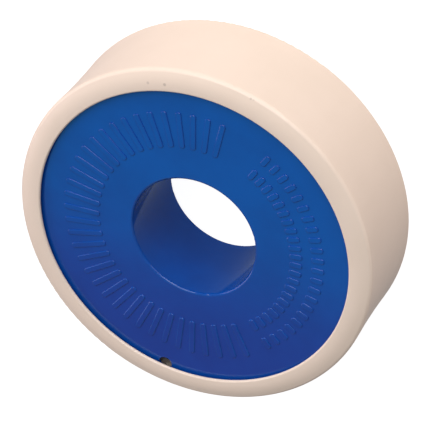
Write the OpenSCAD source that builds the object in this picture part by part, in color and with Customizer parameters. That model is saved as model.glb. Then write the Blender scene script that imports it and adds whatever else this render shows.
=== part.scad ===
// Thread seal tape roll: a two-part spool of film tape inside a push-on cover ring.
// The roll lies on the rear edge of its cover. +Z is the spool's axis and points out of the front face.

/* [Tape] */
// Width of the tape
tape_w = 12; // [10:0.5:19]
// Thickness of the film
film_t = 0.1; // [0.08:0.01:0.2]
// Depth of the outermost turn below the edges of the flanges
tape_margin = 2.6; // [1.8:0.1:8]
// Angle that the loose outer end still hugs the winding
end_wrap_angle = 62; // [30:1:120]
// Angle round the axis of the part of the outer end that lifts away
end_tail_angle = 32; // [26:1:50]
// Height that the tip of the outer end lifts
end_lift = 1.1; // [0.3:0.1:1.5]

/* [Spool] */
// Diameter of the bore through the hub
bore_d = 19.6; // [14:0.2:23]
// Thickness of the hub's wall
hub_wall = 1.4; // [1:0.1:2.4]
// Diameter of the two flanges
flange_d = 52.6; // [51:0.2:60]
// Thickness of each flange
flange_t = 0.8; // [0.65:0.05:1.2]
// Radius on the edges of the flanges
flange_edge_r = 0.3; // [0.1:0.05:0.3]
// Radius on the two rims of the bore
bore_edge_r = 0.35; // [0.1:0.05:0.5]
// Length of the rear half's sleeve, which slides over the tube of the front half
lap_l = 6; // [4:0.25:9]
// Diameter of the small hole at the edge of the front flange
edge_hole_d = 2.2; // [1:0.1:2.4]
// Distance of that hole's centre from the edge of the flange
edge_hole_inset = 1.5; // [1.5:0.05:3]
// Direction of that hole round the axis
edge_hole_angle = 110; // [0:1:359]

/* [Cover] */
// Thickness of the cover's wall
cover_wall = 1.4; // [1.1:0.1:2.4]
// Reach of the front lip from the inside of the wall
lip_reach = 2; // [1:0.1:3]
// Thickness of the lip at its rounded inner edge
lip_t = 0.6; // [0.4:0.05:0.8]
// Distance of the crest of the front from the lip's inner edge
crest_inset = 0.75; // [0.5:0.05:1]
// Radius of the gentle crown across the front
crown_r = 5.5; // [5:0.5:14]
// Radius of the outer shoulder, where the crown meets the wall
shoulder_r = 0.7; // [0.4:0.1:1]
// Radius on the outside of the rear edge
foot_r = 0.5; // [0.2:0.1:0.6]
// Bevel on the inside of the rear edge, which leads the flanges in
lead_in = 0.3; // [0.1:0.1:0.4]
// Depth by which the outside is drawn in between its ends
waist = 0.15; // [0.05:0.05:0.2]
// Depth of the spool's rear face below the rear edge of the cover
rear_recess = 1.25; // [0.8:0.05:2.5]

/* [Clearances] */
// Gap between the flanges and the inside of the cover
cover_clear = 0.3; // [0.2:0.05:0.6]
// Gap between the front flange and the lip
lip_clear = 0.35; // [0.2:0.05:0.6]
// Gap between the tape's edges and each flange
tape_side_clear = 0.25; // [0.15:0.05:0.4]
// Gap between the hub and the first turn of tape
core_clear = 0.05; // [0.02:0.01:0.1]
// Gap between the loose outer end and the winding
end_clear = 0.3; // [0.2:0.05:0.4]
// Gap round the overlap of the two halves of the hub
lap_clear = 0.05; // [0.03:0.01:0.1]

/* [Hidden] */
$fn = 160;
// Facets of the wide arc that draws the cover's waist in
waist_fn = 720;
// Straight steps along the loose outer end
end_steps = 32;
// Overrun of every cut past the face that it opens
cut = 1;
// Straight land between the waist and the rounded ends of the cover's outside
waist_land = 0.3;
// Depth of the crown below the arc that just touches the lip's edge and the shoulder, so that it crosses both cleanly
blend_dip = 0.001;
// Middle of anything as a share of its length
mid_share = 0.5;

// Spool radii and heights, from the rear edge of the cover upwards
bore_r = bore_d * mid_share;
hub_r = bore_r + hub_wall;
lap_r = bore_r + hub_wall * mid_share;
flange_r = flange_d * mid_share;
rear_z = rear_recess;
rear_inner_z = rear_z + flange_t;
tape_z = rear_inner_z + tape_side_clear;
front_inner_z = tape_z + tape_w + tape_side_clear;
front_z = front_inner_z + flange_t;
lap_z = rear_z + lap_l;
rear_mid_z = rear_z + flange_t * mid_share;
front_mid_z = front_z - flange_t * mid_share;
winding_r = flange_r - tape_margin;

// The outer end follows the winding, then lifts away with the square of the angle, up to its tip
end_r = winding_r + end_clear;
end_angle = end_wrap_angle + end_tail_angle;
function tail_share(a) = max(0, a - end_wrap_angle) / end_tail_angle;
function end_path_r(a) = end_r + end_lift * tail_share(a) * tail_share(a);

// Cover radii and heights
inner_r = flange_r + cover_clear;
outer_r = inner_r + cover_wall;
lip_r = inner_r - lip_reach;
lip_z = front_z + lip_clear;
nose_r = lip_t * mid_share;
nose_c = [lip_r + nose_r, lip_z + nose_r];

// The front is one crown arc that touches the round of the lip's edge on the inside and the shoulder on the outside
function inner_touch(big_r, small_r, across) = sqrt(pow(big_r - small_r, 2) - across * across);
crest_r = lip_r + crest_inset;
crown_z = nose_c.y - inner_touch(crown_r, nose_r, crest_r - nose_c.x);
crown_c = [crest_r, crown_z];
crest_z = crown_z + crown_r;
shoulder_x = outer_r - shoulder_r;
shoulder_c = [shoulder_x, crown_z + inner_touch(crown_r, shoulder_r, shoulder_x - crest_r)];
shoulder_way = (shoulder_c - crown_c) / (crown_r - shoulder_r);
nose_way = (nose_c - crown_c) / (crown_r - nose_r);
crown_low_z = min(lip_z, shoulder_c.y);

// The waist is an arc between the foot and the shoulder
waist_low_z = foot_r + waist_land;
waist_high_z = shoulder_c.y - waist_land;
waist_half = (waist_high_z - waist_low_z) * mid_share;
waist_r = (waist_half * waist_half + waist * waist) / (waist + waist);

// Revolves a half outline about the spool's axis
module turned() {
    rotate_extrude() children();
}

// Waste outside an arc: a corner polygon less the circle that stays
module arc_waste(corner_points, centre, r) {
    difference() {
        polygon(corner_points);
        translate(centre) circle(r);
    }
}

// Waste of a rounded square corner at [x, y]; dx and dy point into the piece
module corner_waste(x, y, dx, dy, r) {
    centre = [x + dx * r, y + dy * r];
    corner_points = [
        centre,
        [centre.x, y],
        [centre.x, y - dy * cut],
        [x - dx * cut, y - dy * cut],
        [x - dx * cut, centre.y],
        [x, centre.y]
    ];
    arc_waste(corner_points, centre, r);
}

// Half outline of a flange from an inner radius and between two heights, rounded on its edge
module flange_outline(inside_r, low_z, high_z) {
    difference() {
        translate([inside_r, low_z]) square([flange_r - inside_r, high_z - low_z]);
        corner_waste(flange_r, low_z, -1, 1, flange_edge_r);
        corner_waste(flange_r, high_z, -1, -1, flange_edge_r);
    }
}

// Front flange with the hub's tube, which lines the whole bore
module spool_front_half() {
    color("royalblue") difference() {
        turned() difference() {
            union() {
                flange_outline(bore_r, front_inner_z, front_z);
                translate([bore_r, lap_z + lap_clear])
                    square([hub_wall, front_mid_z - lap_z - lap_clear]);
                translate([bore_r, rear_z])
                    square([lap_r - bore_r, front_mid_z - rear_z]);
            }
            corner_waste(bore_r, front_z, 1, -1, bore_edge_r);
            corner_waste(bore_r, rear_z, 1, 1, bore_edge_r);
        }
        rotate(edge_hole_angle)
            translate([flange_r - edge_hole_inset, 0, front_inner_z - cut])
                cylinder(d = edge_hole_d, h = flange_t + cut + cut);
    }
}

// Rear flange with the sleeve that slides over the tube
module spool_rear_half() {
    sleeve_r = lap_r + lap_clear;
    color("mediumblue") turned() {
        flange_outline(sleeve_r, rear_z, rear_inner_z);
        translate([sleeve_r, rear_mid_z]) square([hub_r - sleeve_r, lap_z - rear_mid_z]);
    }
}

// The turns of tape on the hub
module tape_winding() {
    color("whitesmoke") turned()
        translate([hub_r + core_clear, tape_z])
            square([winding_r - hub_r - core_clear, tape_w]);
}

// The loose outer end, a strip of film on edge
module tape_free_end() {
    angles = [for (i = [0 : end_steps]) end_angle * i / end_steps];
    inside = [for (a = angles) end_path_r(a) * [cos(a), sin(a)]];
    outside = [for (a = angles) (end_path_r(a) + film_t) * [cos(a), sin(a)]];
    color("white") translate([0, 0, tape_z])
        linear_extrude(tape_w)
            polygon(concat(inside, [for (i = [end_steps : -1 : 0]) outside[i]]));
}

// Ring that covers the winding, with a lip over the edge of the front flange
module cover_ring() {
    shoulder_waste = [
        shoulder_c,
        [outer_r, shoulder_c.y],
        [outer_r + cut, shoulder_c.y],
        [outer_r + cut, crest_z + cut],
        shoulder_c + (shoulder_r + cut) * shoulder_way
    ];
    crown_waste = [
        [lip_r - cut, crown_low_z],
        [outer_r + cut, crown_low_z],
        [outer_r + cut, crest_z + cut],
        [lip_r - cut, crest_z + cut]
    ];
    nose_waste = [
        nose_c,
        nose_c + (nose_r + cut) * nose_way,
        [lip_r - cut, crest_z + cut],
        [lip_r - cut, lip_z - cut],
        [nose_c.x, lip_z - cut],
        [nose_c.x, lip_z]
    ];
    color("linen") turned() difference() {
        polygon([
            [inner_r, lead_in],
            [inner_r + lead_in, 0],
            [outer_r, 0],
            [outer_r, crest_z],
            [lip_r, crest_z],
            [lip_r, lip_z],
            [inner_r, lip_z]
        ]);
        arc_waste(crown_waste, crown_c - [0, blend_dip], crown_r);
        arc_waste(shoulder_waste, shoulder_c, shoulder_r);
        arc_waste(nose_waste, nose_c, nose_r);
        corner_waste(outer_r, 0, -1, 1, foot_r);
        translate([outer_r - waist + waist_r, waist_low_z + waist_half]) circle(waist_r, $fn = waist_fn);
    }
}

spool_front_half();
spool_rear_half();
tape_winding();
tape_free_end();
cover_ring();
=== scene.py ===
import math
import random

import bmesh
import bpy
from mathutils import Matrix, Vector


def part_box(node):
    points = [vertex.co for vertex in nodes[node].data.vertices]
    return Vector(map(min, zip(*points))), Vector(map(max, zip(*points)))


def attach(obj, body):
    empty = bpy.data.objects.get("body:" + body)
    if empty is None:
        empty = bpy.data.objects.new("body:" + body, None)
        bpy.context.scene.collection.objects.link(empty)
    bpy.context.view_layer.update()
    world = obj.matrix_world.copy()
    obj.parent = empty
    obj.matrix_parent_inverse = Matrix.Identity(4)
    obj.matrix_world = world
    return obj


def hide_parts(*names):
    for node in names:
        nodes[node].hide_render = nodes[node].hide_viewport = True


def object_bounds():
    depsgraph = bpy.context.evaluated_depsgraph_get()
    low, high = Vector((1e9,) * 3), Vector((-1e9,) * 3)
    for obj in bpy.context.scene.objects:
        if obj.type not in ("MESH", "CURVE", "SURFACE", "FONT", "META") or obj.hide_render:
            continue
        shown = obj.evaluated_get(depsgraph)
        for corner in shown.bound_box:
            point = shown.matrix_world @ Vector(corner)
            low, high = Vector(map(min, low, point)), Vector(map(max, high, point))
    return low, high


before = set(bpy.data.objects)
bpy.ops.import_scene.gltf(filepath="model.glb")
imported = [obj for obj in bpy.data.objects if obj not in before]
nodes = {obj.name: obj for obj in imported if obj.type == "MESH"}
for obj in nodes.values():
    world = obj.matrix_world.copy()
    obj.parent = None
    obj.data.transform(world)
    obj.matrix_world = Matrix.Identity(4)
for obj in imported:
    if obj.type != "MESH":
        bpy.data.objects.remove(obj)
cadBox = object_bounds()
mm = 0.001
mergeDistance = 1e-7
plasticIor = 1.49
print("frame loaded:", ", ".join(sorted(nodes)))


# camera at the photograph's angle
pictureView = {
    "aim": (-0.20, -6.42, 15.35),  # mm, what the middle of the picture looks at
    "distance": 370.0,
    "elevation": 49.84,
    "roll": 141.7,
    "lens": 214.4,
    "nearClip": 0.01,  # metres
}


def placeCamera(view):
    rise = math.radians(view["elevation"])
    back = Vector((0, -math.cos(rise), math.sin(rise)))
    camera = bpy.data.objects.new("camera", bpy.data.cameras.new("camera"))
    camera.data.lens = view["lens"]
    camera.data.clip_start = view["nearClip"]
    aimed = (-back).to_track_quat("-Z", "Y").to_matrix().to_4x4()
    rolled = Matrix.Rotation(-math.radians(view["roll"]), 4, "Z")
    spot = (Vector(view["aim"]) + back * view["distance"]) * mm
    camera.matrix_world = Matrix.Translation(spot) @ aimed @ rolled
    bpy.context.scene.collection.objects.link(camera)
    bpy.context.scene.camera = camera


placeCamera(pictureView)
print("camera placed")


class Wire:
    # one socket of a node tree; sums on it add Math nodes
    def __init__(self, paint, socket):
        self.paint = paint
        self.socket = socket

    def math(self, operation, *others):
        return self.paint.math(operation, self, *others)

    def __add__(self, other):
        return self.math("ADD", other)

    def __radd__(self, other):
        return self.math("ADD", other)

    def __sub__(self, other):
        return self.math("SUBTRACT", other)

    def __rsub__(self, other):
        return self.paint.math("SUBTRACT", other, self)

    def __mul__(self, other):
        return self.math("MULTIPLY", other)

    def __rmul__(self, other):
        return self.math("MULTIPLY", other)

    def fade(self, low, high):  # smooth step from 0 at low to 1 at high
        sockets = {"Value": self, "From Min": low, "From Max": high}
        return self.paint.node("ShaderNodeMapRange", {"interpolation_type": "SMOOTHSTEP"}, sockets)


class Paint:
    # a node tree that sums and mixes are written into
    def __init__(self, tree):
        self.tree = tree

    def node(self, kind, settings=None, sockets=None, out=0):
        made = self.tree.nodes.new(kind)
        for name, value in (settings or {}).items():
            setattr(made, name, value)
        for name, value in (sockets or {}).items():
            self.feed(made.inputs[name], value)
        return Wire(self, made.outputs[out])

    def feed(self, socket, value):
        if isinstance(value, Wire):
            self.tree.links.new(value.socket, socket)
        else:
            socket.default_value = value

    def math(self, operation, *values):
        return self.node("ShaderNodeMath", {"operation": operation}, dict(enumerate(values)))

    def mix(self, share, first, second):
        return self.node("ShaderNodeMix", {"data_type": "RGBA"}, {0: share, 6: first, 7: second}, 2)


class Finish(Paint):
    # a material round one Principled shader; places are in mm
    def __init__(self, name, sockets):
        self.material = bpy.data.materials.new(name)
        self.material.use_nodes = True
        super().__init__(self.material.node_tree)
        self.shader = self.tree.nodes["Principled BSDF"]
        for socket, value in sockets.items():
            self.shader.inputs[socket].default_value = value
        metres = self.node("ShaderNodeTexCoord", out="Object")
        self.place = self.node("ShaderNodeVectorMath", {"operation": "SCALE"}, {0: metres, "Scale": 1 / mm})
        self.x = self.node("ShaderNodeSeparateXYZ", {}, {0: self.place}, "X")
        self.y = self.node("ShaderNodeSeparateXYZ", {}, {0: self.place}, "Y")
        self.z = self.node("ShaderNodeSeparateXYZ", {}, {0: self.place}, "Z")

    def grain(self, scale, detail=2.0, at=None):  # noise from 0 to 1, scale in turns per mm
        sockets = {"Vector": at or self.place, "Scale": scale, "Detail": detail}
        return self.node("ShaderNodeTexNoise", {}, sockets, "Fac")

    def spot(self, x, y, z):
        return self.node("ShaderNodeCombineXYZ", {}, {"X": x, "Y": y, "Z": z})

    def distance(self, point):
        sockets = {0: self.place, 1: point}
        return self.node("ShaderNodeVectorMath", {"operation": "DISTANCE"}, sockets, "Value")

    def wear(self, colour, roughness, height, depth):
        self.feed(self.shader.inputs["Base Color"], colour)
        self.feed(self.shader.inputs["Roughness"], roughness)
        bump = {"Height": height, "Distance": depth * mm, "Strength": 1.0}
        self.feed(self.shader.inputs["Normal"], self.node("ShaderNodeBump", {}, bump))


# off-white satin plastic of the cover ring
coverLook = {
    "cream": (0.823, 0.7225, 0.605, 1),
    "creamShade": (0.772, 0.6745, 0.5545, 1),
    "dust": (0.10, 0.075, 0.06, 1),
    "roughness": 0.36,
    "cloudScale": 0.11,  # turns per mm, as all scales are
    "streakScale": 0.55,
    "streakRun": 0.06,  # share of that scale along the axis
    "grainScale": 7.0,
    "relief": 0.008,  # mm
    "specks": [  # where a grain of dust sits, mm, its radius and how dark it is
        (18.54, -18.23, 16.27, 0.30, 0.22),
        (16.49, -19.86, 16.28, 0.32, 0.32),
        (5.65, -27.09, 15.91, 0.28, 0.25),
        (5.24, -27.21, 15.89, 0.24, 0.18),
    ],
}


def makeCoverPlastic(look):
    finish = Finish("coverPlastic", {"IOR": plasticIor})
    cloud = finish.grain(look["cloudScale"], 3.0)
    drawn = finish.spot(finish.x, finish.y, finish.z * look["streakRun"])
    streak = finish.grain(look["streakScale"], 2.0, drawn)
    fine = finish.grain(look["grainScale"], 2.0)
    shade = cloud.fade(0.35, 0.8) * 0.5 + streak * 0.25
    colour = finish.mix(shade, look["cream"], look["creamShade"])
    for x, y, z, radius, share in look["specks"]:
        near = share * (1 - finish.distance((x, y, z)).fade(radius * 0.4, radius))
        colour = finish.mix(near, colour, look["dust"])
    rough = look["roughness"] + 0.10 * (cloud - 0.5) + 0.06 * (fine - 0.5)
    finish.wear(colour, rough, fine * 0.35 + streak, look["relief"])
    return finish.material


# glossy blue plastic of the spool
spoolLook = {
    "blue": (0.0013, 0.0644, 0.353, 1),
    "blueShade": (0.0013, 0.0548, 0.313, 1),
    "roughness": 0.10,
    "cloudScale": 0.16,
    "peelScale": 1.1,
    "grainScale": 6.0,
    "relief": 0.0015,
}


def makeSpoolPlastic(look):
    finish = Finish("spoolPlastic", {"IOR": plasticIor})
    cloud = finish.grain(look["cloudScale"], 3.0)
    peel = finish.grain(look["peelScale"], 2.0)
    fine = finish.grain(look["grainScale"], 1.0)
    colour = finish.mix(cloud.fade(0.3, 0.75), look["blue"], look["blueShade"])
    rough = look["roughness"] + 0.05 * (cloud - 0.5) + 0.03 * (peel - 0.5)
    finish.wear(colour, rough, peel + fine * 0.25, look["relief"])
    return finish.material


# dry waxy film of the tape
tapeLook = {
    "white": (0.86, 0.86, 0.84, 1),
    "whiteShade": (0.74, 0.74, 0.71, 1),
    "roughness": 0.5,
    "ior": 1.35,
    "cloudScale": 0.3,
    "stretchScale": 1.0,
    "stretchRun": 0.08,  # share of that scale round the roll
    "stretchAcross": 5.0,
    "relief": 0.03,
}


def makeTapeFilm(look):
    finish = Finish("tapeFilm", {"IOR": look["ior"]})
    cloud = finish.grain(look["cloudScale"], 3.0)
    run = look["stretchRun"]
    drawn = finish.spot(finish.x * run, finish.y * run, finish.z * look["stretchAcross"])
    stretch = finish.grain(look["stretchScale"], 3.0, drawn)
    shade = stretch.fade(0.3, 0.8) * 0.6 + cloud * 0.3
    colour = finish.mix(shade, look["white"], look["whiteShade"])
    rough = look["roughness"] + 0.15 * (stretch - 0.5)
    finish.wear(colour, rough, stretch + cloud * 0.4, look["relief"])
    return finish.material


coverPlastic = makeCoverPlastic(coverLook)
spoolPlastic = makeSpoolPlastic(spoolLook)
tapeFilm = makeTapeFilm(tapeLook)
for nodeName, material in [
    ("cover_ring", coverPlastic),
    ("spool_front_half", spoolPlastic),
    ("spool_rear_half", spoolPlastic),
]:
    nodes[nodeName].data.materials.clear()
    nodes[nodeName].data.materials.append(material)
print("materials made")


def makePiece(name, shape, material, body, sharpAngle):
    bmesh.ops.remove_doubles(shape, verts=shape.verts, dist=mergeDistance)
    bmesh.ops.recalc_face_normals(shape, faces=shape.faces)
    for face in shape.faces:
        face.smooth = True
    mesh = bpy.data.meshes.new(name)
    shape.to_mesh(mesh)
    shape.free()
    mesh.set_sharp_from_angle(angle=math.radians(sharpAngle))
    mesh.materials.append(material)
    piece = bpy.data.objects.new(name, mesh)
    bpy.context.scene.collection.objects.link(piece)
    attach(piece, body)
    return piece


def roundEdges(shape, edges, radius, segments):
    bmesh.ops.bevel(
        shape, geom=edges, offset=radius, affect="EDGES", segments=segments, profile=0.5, material=-1,
    )


# low ribs raised on the front flange, in an arc of long ones and rows of short ones
ribSet = {
    "height": 0.14,
    "sunk": 0.1,
    "width": 0.9,
    "endRound": 0.4,
    "endSegments": 4,
    "edgeRound": 0.12,
    "edgeSegments": 3,
    "lidInset": 0.02,  # keeps the top of each rib flat in its shading
    "lidSlack": 1e-4,  # how far below the top a vertex still counts as on it
    "sharpAngle": 40,
    "rows": [
        {"first": -72, "last": 146, "count": 35, "inner": 15.1, "outer": 21.0},
        {"first": 158, "last": 266, "count": 22, "inner": 15.2, "outer": 17.2},
        {"first": 158, "last": 266, "count": 22, "inner": 18.6, "outer": 20.6},
    ],
}


def makeFlangeRibs(ribs):
    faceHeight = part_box("spool_front_half")[1].z / mm
    shape = bmesh.new()
    tall = ribs["height"] + ribs["sunk"]
    for row in ribs["rows"]:
        long = row["outer"] - row["inner"]
        size = Matrix.Diagonal((long, ribs["width"], tall, 1))
        out = Matrix.Translation((row["inner"] + long / 2, 0, faceHeight - ribs["sunk"] + tall / 2))
        for i in range(row["count"]):
            angle = row["first"] + (row["last"] - row["first"]) * i / (row["count"] - 1)
            turn = Matrix.Rotation(math.radians(angle), 4, "Z")
            bmesh.ops.create_cube(shape, size=1, matrix=turn @ out @ size)
    corners = [e for e in shape.edges if abs(e.verts[0].co.z - e.verts[1].co.z) > tall / 2]
    roundEdges(shape, corners, ribs["endRound"], ribs["endSegments"])
    top = faceHeight + ribs["height"] - ribs["lidSlack"]
    rims = [e for e in shape.edges if all(v.co.z > top for v in e.verts)]
    roundEdges(shape, rims, ribs["edgeRound"], ribs["edgeSegments"])
    lids = [f for f in shape.faces if all(v.co.z > top for v in f.verts)]
    bmesh.ops.inset_individual(shape, faces=lids, thickness=ribs["lidInset"])
    bmesh.ops.scale(shape, vec=(mm, mm, mm), verts=shape.verts)
    return makePiece("flange_ribs", shape, spoolPlastic, "spool", ribs["sharpAngle"])


# the wound tape, with the edges of its turns a little uneven
rollSet = {
    "coreRadius": 11.25,
    "turns": 60,
    "edgeWander": 0.09,
    "steps": 180,
    "seed": 7,
    "sharpAngle": 30,
}


def makeTapeRoll(roll):
    low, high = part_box("tape_winding")
    outer = high.x / mm
    bottom, top = low.z / mm, high.z / mm
    draw = random.Random(roll["seed"])
    shape = bmesh.new()
    corners = [(roll["coreRadius"], bottom), (outer, bottom), (outer, top), (roll["coreRadius"], top)]
    verts = [shape.verts.new((r, 0, z)) for r, z in corners]
    edges = [shape.edges.new((verts[i], verts[(i + 1) % 4])) for i in range(4)]
    bmesh.ops.subdivide_edges(shape, edges=[edges[0], edges[2]], cuts=roll["turns"])
    for vert in shape.verts:
        inward = 1 if vert.co.z < (bottom + top) / 2 else -1
        vert.co.z += inward * draw.uniform(0, roll["edgeWander"])
    bmesh.ops.spin(
        shape, geom=shape.verts[:] + shape.edges[:], cent=(0, 0, 0), axis=(0, 0, 1),
        angle=math.tau, steps=roll["steps"], use_merge=True,
    )
    bmesh.ops.scale(shape, vec=(mm, mm, mm), verts=shape.verts)
    piece = makePiece("tape_roll", shape, tapeFilm, "spool", roll["sharpAngle"])
    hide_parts("tape_winding")
    return piece


# the loose outer end of the tape, which leaves the roll and lifts a little
tailSet = {
    "film": 0.1,
    "hugAngle": 62,
    "liftAngle": 32,
    "lift": 1.1,
    "gap": 0.05,  # between the roll and the end that lies on it
    "tuckAngle": 3,  # over which it comes out from under the last turn
    "cup": 0.12,  # by which the tip curves across its width
    "slant": 2.0,  # degrees that the cut at the tip leans
    "steps": 94,
    "rows": 10,
    "sharpAngle": 40,
}


def makeTapeTail(tail):
    low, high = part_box("tape_free_end")
    width = (high.z - low.z) / mm
    middle = (high.z + low.z) / 2 / mm
    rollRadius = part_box("tape_winding")[1].x / mm
    whole = tail["hugAngle"] + tail["liftAngle"]

    def reach(angle):
        lifted = max(0, angle - tail["hugAngle"]) / tail["liftAngle"]
        tucked = max(0, 1 - angle / tail["tuckAngle"]) * (tail["gap"] + tail["film"] / 2)
        return rollRadius + tail["gap"] + tail["lift"] * lifted ** 2 - tucked

    def pathPoint(angle):
        turned = math.radians(angle)
        return Vector((reach(angle) * math.cos(turned), reach(angle) * math.sin(turned)))

    shape = bmesh.new()
    bmesh.ops.create_grid(shape, x_segments=tail["steps"], y_segments=tail["rows"], size=0.5)
    for vert in shape.verts:
        along, across = vert.co.x + 0.5, vert.co.y
        angle = whole * along
        radius = reach(angle) + tail["cup"] * along ** 6 * math.cos(across * math.tau)
        turned = math.radians(angle - tail["slant"] * (0.5 + across) * along ** 8)
        vert.co = (radius * math.cos(turned), radius * math.sin(turned), middle + across * width)
    bmesh.ops.recalc_face_normals(shape, faces=shape.faces)
    bmesh.ops.solidify(shape, geom=shape.faces[:], thickness=tail["film"])
    bmesh.ops.scale(shape, vec=(mm, mm, mm), verts=shape.verts)
    piece = makePiece("tape_tail", shape, tapeFilm, "tape_end", tail["sharpAngle"])
    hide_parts("tape_free_end")
    points = [pathPoint(angle) for angle in range(whole + 1)]
    return piece


makeFlangeRibs(ribSet)
print("ribs raised on the front flange")
makeTapeRoll(rollSet)
makeTapeTail(tailSet)
print("tape wound and its end laid")


# white floor, soft lights and a pale room that is brighter on one side
roomSet = {
    "floorSize": 6.0,  # metres
    "floorGap": 0.02,  # mm under the part
    "floorPaper": (0.25, 0.25, 0.25, 1),
    "floorFibre": (0.245, 0.245, 0.245, 1),
    "fibreScale": 0.05,
    "floorSeen": (0.96, 0.96, 0.96, 1),
    "floorGlow": (0.61, 0.51, 0.48, 1),  # what the floor gives to the part
    "floorMirror": (0.134, 0.168, 0.207, 1),  # what the part mirrors of the floor
    "roomSeen": (1.0, 1.0, 1.0, 1),
    "roomDark": (0.0, 0.0, 0.0, 1),
    "roomGlow": (0.70, 0.63, 0.585, 1),  # on the bright side, falling off to nothing on the other
    "roomMirror": (0.3, 0.42, 0.55, 1),
    "brightSide": (1, 0, 0),
    "cardMiddle": (0.0, 0.645, 0.764),  # where a reflecting card hangs that the front flange mirrors
    "cardSpread": (13.0, 8.0),  # degrees
    "cardEdge": (0.3626, -0.6971, 0.6185),  # normal of the plane that parts its two tones
    "cardBlend": 0.004,  # half the width over which they meet
    "cardBlue": (0.177, 0.814, 1.47, 1),
    "cardDusk": (0.39, 0.0, 0.0, 1),
}
lightSet = {
    "keyLight": {"angle": -60, "elevation": 40, "size": 0.6, "power": 3.28, "colour": (0.991, 0.96, 1.0)},
    "lowLight": {"angle": -90, "elevation": 15, "size": 0.6, "power": 1.68, "colour": (1.0, 0.863, 0.863)},
    "sideLight": {"angle": 30, "elevation": 15, "size": 0.6, "power": 1.98, "colour": (1.0, 0.758, 0.848)},
}
lightDistance = 0.7  # metres


def makeFloor(room):
    finish = Finish("floorPaper", {"Emission Strength": 1.0, "Roughness": 1.0, "Specular IOR Level": 0.0})
    paper = finish.mix(finish.grain(room["fibreScale"], 3.0), room["floorPaper"], room["floorFibre"])
    finish.feed(finish.shader.inputs["Base Color"], paper)
    seen = finish.node("ShaderNodeLightPath", out="Is Camera Ray")
    mirrored = finish.node("ShaderNodeLightPath", out="Is Glossy Ray")
    given = finish.mix(mirrored, room["floorGlow"], room["floorMirror"])
    finish.feed(finish.shader.inputs["Emission Color"], finish.mix(seen, given, room["floorSeen"]))
    shape = bmesh.new()
    bmesh.ops.create_grid(shape, x_segments=2, y_segments=2, size=room["floorSize"] / 2)
    bmesh.ops.translate(shape, vec=(0, 0, cadBox[0][2] - room["floorGap"] * mm), verts=shape.verts)
    mesh = bpy.data.meshes.new("floor")
    shape.to_mesh(mesh)
    shape.free()
    mesh.materials.append(finish.material)
    floor = bpy.data.objects.new("floor", mesh)
    bpy.context.scene.collection.objects.link(floor)


def hangLight(name, light):
    angle, rise = math.radians(light["angle"]), math.radians(light["elevation"])
    away = Vector((math.cos(angle) * math.cos(rise), math.sin(angle) * math.cos(rise), math.sin(rise)))
    data = bpy.data.lights.new(name, "AREA")
    data.size = light["size"]
    data.energy = light["power"]
    data.color = light["colour"]
    lamp = bpy.data.objects.new(name, data)
    aimed = away.to_track_quat("Z", "Y").to_matrix().to_4x4()
    lamp.matrix_world = Matrix.Translation(away * lightDistance) @ aimed
    bpy.context.scene.collection.objects.link(lamp)


def paintRoom(room):
    world = bpy.data.worlds.new("room")
    world.use_nodes = True
    paint = Paint(world.node_tree)
    way = paint.node("ShaderNodeTexCoord", out="Generated")

    def toward(direction):
        sockets = {0: way, 1: direction}
        return paint.node("ShaderNodeVectorMath", {"operation": "DOT_PRODUCT"}, sockets, "Value")

    outer, inner = [math.cos(math.radians(spread)) for spread in room["cardSpread"]]
    card = toward(room["cardMiddle"]).fade(outer, inner)
    side = toward(room["cardEdge"]).fade(-room["cardBlend"], room["cardBlend"])
    tone = paint.mix(side, room["cardDusk"], room["cardBlue"])
    glow = paint.mix(toward(room["brightSide"]) * 0.5 + 0.5, room["roomDark"], room["roomGlow"])
    seen = paint.node("ShaderNodeLightPath", out="Is Camera Ray")
    mirrored = paint.node("ShaderNodeLightPath", out="Is Glossy Ray")
    given = paint.mix(mirrored, glow, paint.mix(card, room["roomMirror"], tone))
    colour = paint.mix(seen, given, room["roomSeen"])
    paint.feed(world.node_tree.nodes["Background"].inputs["Color"], colour)
    bpy.context.scene.world = world


makeFloor(roomSet)
for lampName, lampSet in lightSet.items():
    hangLight(lampName, lampSet)
paintRoom(roomSet)
bpy.context.scene.view_settings.view_transform = "Standard"
print("floor, lights and room set")
